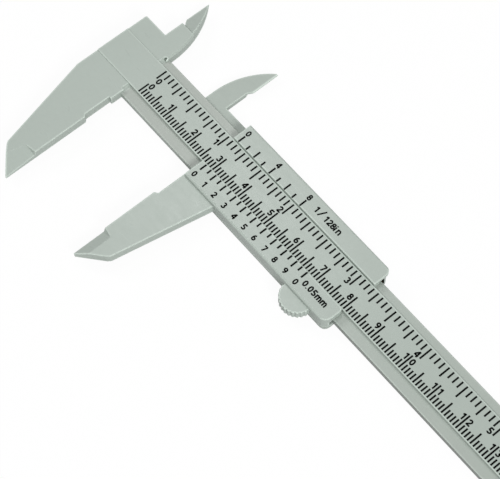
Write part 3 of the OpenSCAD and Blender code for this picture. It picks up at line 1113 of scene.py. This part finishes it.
@dataclass(frozen=True)
class PhotoCamera:
    """Camera at the photograph's viewing angle; place in datum millimetres, axes as unit vectors."""

    place: Point = (209.41, -132.36, 404.561)
    right: Point = (0.64000152, 0.76827253, -0.0124649)
    up: Point = (-0.68583938, 0.57849542, 0.44155112)
    back: Point = (0.34644249, -0.27404447, 0.8971495)
    focal_px: float = 1815.1
    width_px: float = 500.0
    sensor_mm: float = 36.0
    offset_px: tuple[float, float] = (0.5, -0.5)
    clip: tuple[float, float] = (0.01, 20.0)

    def build(self) -> None:
        """Create the camera and make it the scene's."""
        data = bpy.data.cameras.new("photo_camera")
        data.sensor_fit = "HORIZONTAL"
        data.sensor_width = self.sensor_mm
        data.lens = self.focal_px * self.sensor_mm / self.width_px
        data.shift_x = -self.offset_px[0] / self.width_px
        data.shift_y = -self.offset_px[1] / self.width_px
        data.clip_start, data.clip_end = self.clip
        camera = bpy.data.objects.new("photo_camera", data)
        turn = Matrix((self.right, self.up, self.back)).transposed().to_4x4()
        place = DATUM.to_frame(np.array([self.place]))[0]
        camera.matrix_world = Matrix.Translation(Vector(place)) @ turn
        bpy.context.scene.collection.objects.link(camera)
        bpy.context.scene.camera = camera


@dataclass(frozen=True)
class SoftLamp:
    """Round area lamp that points at the slider; place in metres, energy in watts."""

    name: str
    place: Point
    size: float
    energy: float
    aim: Point = (0.05, 0.01, 0.0)

    def build(self) -> None:
        """Create the lamp."""
        data = bpy.data.lights.new(self.name, "AREA")
        data.shape = "DISK"
        data.size = self.size
        data.energy = self.energy
        lamp = bpy.data.objects.new(self.name, data)
        place = Vector(self.place)
        lamp.rotation_euler = (Vector(self.aim) - place).to_track_quat("-Z", "Y").to_euler()
        lamp.location = place
        bpy.context.scene.collection.objects.link(lamp)


@dataclass(frozen=True)
class Studio:
    """Plain pale floor, even white surroundings and three soft lamps.

    The floor is a mix of a grey surface and a white glow. The seen glow is the share of the glow for camera
    rays, and the mirrored glow its share for mirror rays.
    """

    ambient: float = 0.27
    lamps: tuple[SoftLamp, ...] = (
        SoftLamp("side_lamp", (1.47, -0.34, 1.1), 0.7, 20.5),
        SoftLamp("fill_lamp", (-1.37, -0.36, 1.1), 0.7, 10.0),
        SoftLamp("sheen_lamp", (-0.13, 0.15, 0.45), 0.1, 0.24),
    )
    floor_half: float = 3.0
    floor_gap: float = 0.0001
    floor_tone: float = 0.58
    floor_roughness: float = 0.9
    floor_glow: float = 1.05
    seen_glow: float = 0.9
    mirrored_glow: float = 0.25

    def build(self, lowest: float) -> None:
        """Build the surroundings.

        Args:
            lowest: height of the object's lowest point in metres; the floor lies just below it.
        """
        bpy.context.scene.view_settings.view_transform = "Standard"
        self._world()
        for lamp in self.lamps:
            lamp.build()
        self._floor(lowest - self.floor_gap)

    def _seen_directly(self, tree: Tree, camera: float, mirrored: float) -> Socket:
        """Return one number for camera rays, another for mirror and glass rays, and 0 for the others.

        Args:
            tree: node tree to add to.
            camera: the number for camera rays.
            mirrored: the number for mirror and glass rays.

        Returns:
            The number's socket.
        """
        path = tree.nodes.new("ShaderNodeLightPath")
        glossy, through = path.outputs["Is Glossy Ray"], path.outputs["Is Transmission Ray"]
        bounced = product(tree, math_node(tree, "MAXIMUM", glossy, through), mirrored)
        first = product(tree, path.outputs["Is Camera Ray"], camera)
        return math_node(tree, "MAXIMUM", first, bounced)

    def _world(self) -> None:
        """Make white surroundings, full strength where seen and at the ambient level as light."""
        world = bpy.data.worlds.new("studio")
        world.use_nodes = True
        tree = world.node_tree
        background = tree.nodes["Background"]
        background.inputs["Color"].default_value = (1, 1, 1, 1)
        rest = self._seen_directly(tree, 1.0 - self.ambient, 1.0 - self.ambient)
        tree.links.new(math_node(tree, "ADD", rest, self.ambient), background.inputs["Strength"])
        bpy.context.scene.world = world

    def _floor(self, floor_z: float) -> None:
        """Lay a pale floor that shows white to the camera and keeps a part of the shadow.

        Args:
            floor_z: its height in metres.
        """
        mesh = bpy.data.meshes.new("floor")
        h = self.floor_half
        corner_points = [(-h, -h, floor_z), (h, -h, floor_z), (h, h, floor_z), (-h, h, floor_z)]
        mesh.from_pydata(corner_points, [], [(0, 1, 2, 3)])
        floor = bpy.data.objects.new("floor", mesh)
        material, tree, shader = start_material("studio_floor")
        shader.inputs["Base Color"].default_value = (self.floor_tone,) * 3 + (1.0,)
        shader.inputs["Roughness"].default_value = self.floor_roughness
        glow = tree.nodes.new("ShaderNodeEmission")
        glow.inputs["Strength"].default_value = self.floor_glow
        mix = tree.nodes.new("ShaderNodeMixShader")
        tree.links.new(self._seen_directly(tree, self.seen_glow, self.mirrored_glow), mix.inputs["Fac"])
        tree.links.new(shader.outputs["BSDF"], mix.inputs[1])
        tree.links.new(glow.outputs["Emission"], mix.inputs[2])
        tree.links.new(mix.outputs["Shader"], tree.nodes["Material Output"].inputs["Surface"])
        mesh.materials.append(material)
        bpy.context.scene.collection.objects.link(floor)
        floor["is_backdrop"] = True


def main() -> None:
    logging.basicConfig(level=logging.INFO, format="%(name)s: %(message)s")
    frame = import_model()
    cad_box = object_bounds()
    finishes = Finishes()
    BeamAssembly(frame, finishes).build()
    SliderAssembly(frame, finishes).build()
    PhotoCamera().build()
    Studio().build(lowest=cad_box[0].z)


if __name__ == "__main__":
    main()
